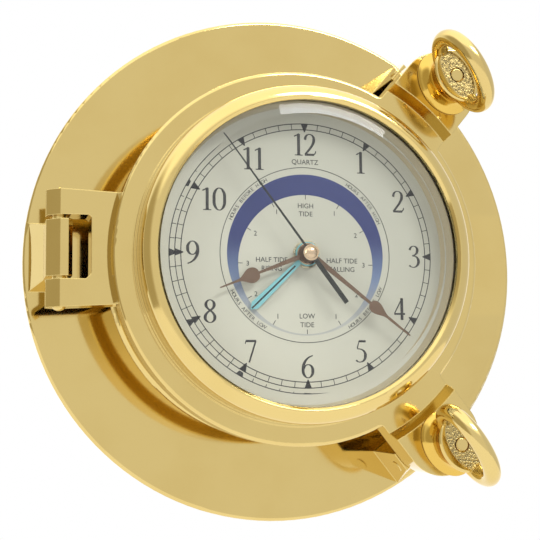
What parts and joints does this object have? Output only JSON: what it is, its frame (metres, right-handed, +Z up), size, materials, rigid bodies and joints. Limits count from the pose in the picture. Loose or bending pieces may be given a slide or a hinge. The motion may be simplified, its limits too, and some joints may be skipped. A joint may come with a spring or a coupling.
{
  "type": "tide clock",
  "caption": "Porthole wall clock in polished brass: flanged housing, hinged glazed door shut by ring-headed screws, printed dial, time hands and a tide hand.",
  "frame": {"origin": "centre of the flange's back face, on the wall", "axes": "+Z up, +X to the right as the dial is read, -Y out of the wall towards the reader"},
  "size_m": [0.215, 0.0791, 0.215],
  "materials": {
    "polished_brass": "polished",
    "cast_brass": "as cast, rims polished",
    "spun_brass": "satin",
    "steel": "satin",
    "painted_steel": "matt black",
    "dial_print": "matt print",
    "clear_glass": "clear",
    "black_rubber": "matt",
    "black_plastic": "moulded",
    "white_plastic": "moulded",
    "battery_wrap": "printed film",
    "board_green": "lacquered",
    "copper": "enamelled wire",
    "hand_brown": "satin lacquer",
    "tide_blue": "satin lacquer",
    "hand_black": "satin lacquer",
    "black_ink": "printed ink on the dial, no solid of its own",
    "navy_ink": "printed ink on the dial, no solid of its own"
  },
  "bodies": {
    "base": {"base_casting": "polished_brass", "hinge_pin": "polished_brass", "back_cover": "painted_steel", "back_cover_screws": "steel", "hanger_plate": "steel", "hanger_screws": "steel", "dial_cup": "spun_brass", "dial_cup_screws": "steel", "dial_plate": "dial_print", "dial_ring": "spun_brass", "dial_gasket": "black_rubber", "centre_nut": "spun_brass", "movement_case": "black_plastic", "movement_lid": "black_plastic", "battery": "battery_wrap", "battery_contact_plus": "steel", "battery_contact_minus": "steel", "circuit_board": "board_green", "motor_coil": "copper", "upper_cross_pin": "polished_brass", "upper_anchor_nut": "polished_brass", "lower_cross_pin": "polished_brass", "lower_anchor_nut": "polished_brass"},
    "door": {"door_casting": "polished_brass", "window_glass": "clear_glass", "glass_seal": "black_rubber", "glass_retaining_ring": "spun_brass"},
    "upper_slide": {"upper_washer": "polished_brass"},
    "upper_screw": {"upper_ring_head": "cast_brass", "upper_stud": "polished_brass", "upper_stop_clip": "steel"},
    "lower_slide": {"lower_washer": "polished_brass"},
    "lower_screw": {"lower_ring_head": "cast_brass", "lower_stud": "polished_brass", "lower_stop_clip": "steel"},
    "minute": {"minute_arbor": "spun_brass", "minute_hand": "hand_brown"},
    "hour": {"hour_pipe": "spun_brass", "hour_hand": "hand_brown"},
    "second": {"second_arbor": "steel", "second_hand": "hand_black", "second_cap": "spun_brass"},
    "tide": {"tide_pipe": "spun_brass", "tide_hand": "tide_blue"},
    "setting": {"motion_wheel": "white_plastic", "setting_knob": "white_plastic"},
    "idler": {"tide_idler": "white_plastic"}
  },
  "joints": [
    {"name": "door_hinge", "type": "hinge", "parent": "base", "child": "door", "pos_m": [-0.0947, -0.03, 0], "axis": [0, 0, -1], "range_deg": [0, 110]},
    {"name": "upper_screw_travel", "type": "slide", "parent": "door", "child": "upper_slide", "axis": [0, -1, 0], "range_m": [0, 0.009]},
    {"name": "upper_screw_turn", "type": "hinge", "parent": "upper_slide", "child": "upper_screw", "pos_m": [0.06107, -0.058, 0.07277], "axis": [0, 1, 0], "range_deg": [-2160, 0]},
    {"name": "lower_screw_travel", "type": "slide", "parent": "door", "child": "lower_slide", "axis": [0, -1, 0], "range_m": [0, 0.009]},
    {"name": "lower_screw_turn", "type": "hinge", "parent": "lower_slide", "child": "lower_screw", "pos_m": [0.05849, -0.058, -0.07486], "axis": [0, 1, 0], "range_deg": [-2160, 0]},
    {"name": "minute_turn", "type": "hinge", "parent": "base", "child": "minute", "pos_m": [0, -0.044, 0], "axis": [0, 1, 0], "continuous": true},
    {"name": "hour_turn", "type": "hinge", "parent": "base", "child": "hour", "pos_m": [0, -0.044, 0], "axis": [0, 1, 0], "continuous": true},
    {"name": "second_turn", "type": "hinge", "parent": "base", "child": "second", "pos_m": [0, -0.044, 0], "axis": [0, 1, 0], "continuous": true},
    {"name": "tide_turn", "type": "hinge", "parent": "base", "child": "tide", "pos_m": [0, -0.044, 0], "axis": [0, 1, 0], "continuous": true},
    {"name": "setting_turn", "type": "hinge", "parent": "base", "child": "setting", "pos_m": [0.00507, -0.044, 0.01088], "axis": [0, 1, 0], "continuous": true},
    {"name": "idler_turn", "type": "hinge", "parent": "base", "child": "idler", "pos_m": [-0.01334, -0.044, 0.0077], "axis": [0, 1, 0], "continuous": true}
  ],
  "couplings": [
    {"joint": "upper_screw_turn", "follows": "upper_screw_travel", "rad_per_m": -4188.8},
    {"joint": "lower_screw_turn", "follows": "lower_screw_travel", "rad_per_m": -4188.8},
    {"joint": "hour_turn", "follows": "minute_turn", "ratio": 0.083333},
    {"joint": "second_turn", "follows": "minute_turn", "ratio": 60},
    {"joint": "tide_turn", "follows": "minute_turn", "ratio": 0.080508},
    {"joint": "setting_turn", "follows": "minute_turn", "ratio": -0.33333},
    {"joint": "idler_turn", "follows": "minute_turn", "ratio": -0.22619}
  ]
}
